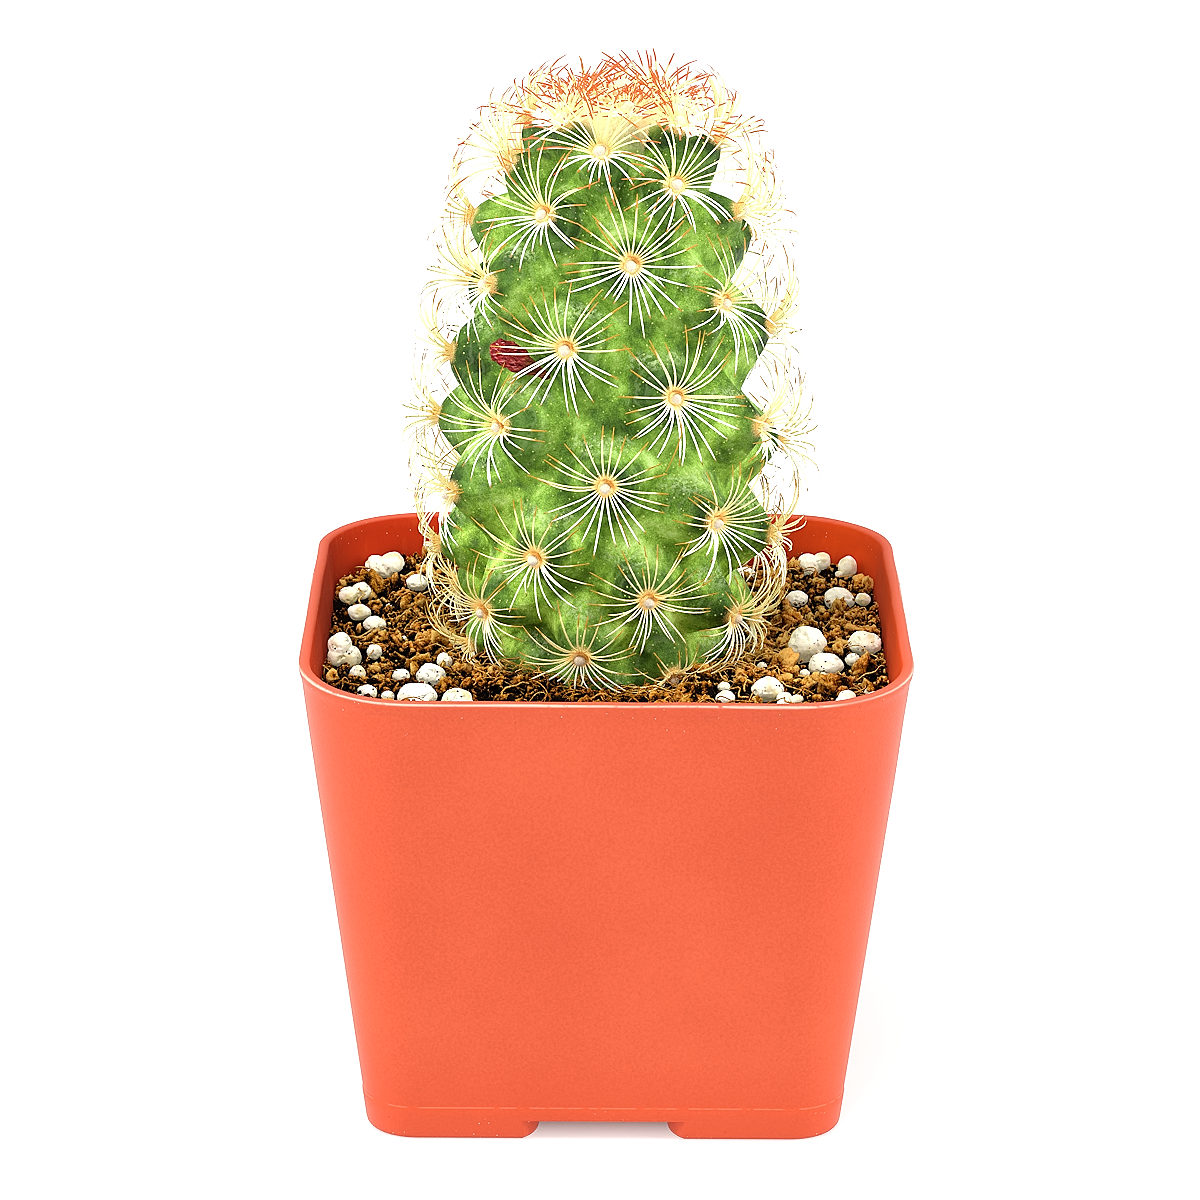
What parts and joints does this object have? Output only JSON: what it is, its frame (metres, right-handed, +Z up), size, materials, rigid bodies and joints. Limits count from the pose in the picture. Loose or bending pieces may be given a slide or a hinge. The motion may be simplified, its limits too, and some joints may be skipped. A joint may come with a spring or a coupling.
{
  "type": "potted ladyfinger cactus",
  "caption": "Small columnar cactus with spiralling tubercles and stars of curved spines, rooted in peat and perlite in a square tapered plastic nursery pot.",
  "frame": {"origin": "under the middle of the pot, on the surface that its four feet stand on", "axes": "+Z up along the stem, +Y away from the picture's camera, +X to its right; the pot's sides are along X and Y"},
  "size_m": [0.057, 0.057, 0.1002],
  "materials": {
    "pot_plastic": "satin",
    "peat_soil": "matte",
    "cactus_skin": "matte",
    "flower_remnant": "matte",
    "perlite": "matte"
  },
  "bodies": {
    "root": {"pot": "pot_plastic", "soil": "peat_soil", "cactus": "cactus_skin", "dried_flower": "flower_remnant", "perlite_01": "perlite", "perlite_02": "perlite", "perlite_03": "perlite", "perlite_04": "perlite", "perlite_05": "perlite", "perlite_06": "perlite", "perlite_07": "perlite", "perlite_08": "perlite", "perlite_09": "perlite", "perlite_10": "perlite", "perlite_11": "perlite", "perlite_12": "perlite", "perlite_13": "perlite", "perlite_14": "perlite", "perlite_15": "perlite", "perlite_16": "perlite", "perlite_17": "perlite", "perlite_18": "perlite", "perlite_19": "perlite", "perlite_20": "perlite", "perlite_21": "perlite", "perlite_22": "perlite", "perlite_23": "perlite", "perlite_24": "perlite", "perlite_25": "perlite", "perlite_26": "perlite", "perlite_27": "perlite", "perlite_28": "perlite", "perlite_29": "perlite", "perlite_30": "perlite", "perlite_31": "perlite", "perlite_32": "perlite", "perlite_33": "perlite", "perlite_34": "perlite", "perlite_35": "perlite"}
  },
  "joints": []
}
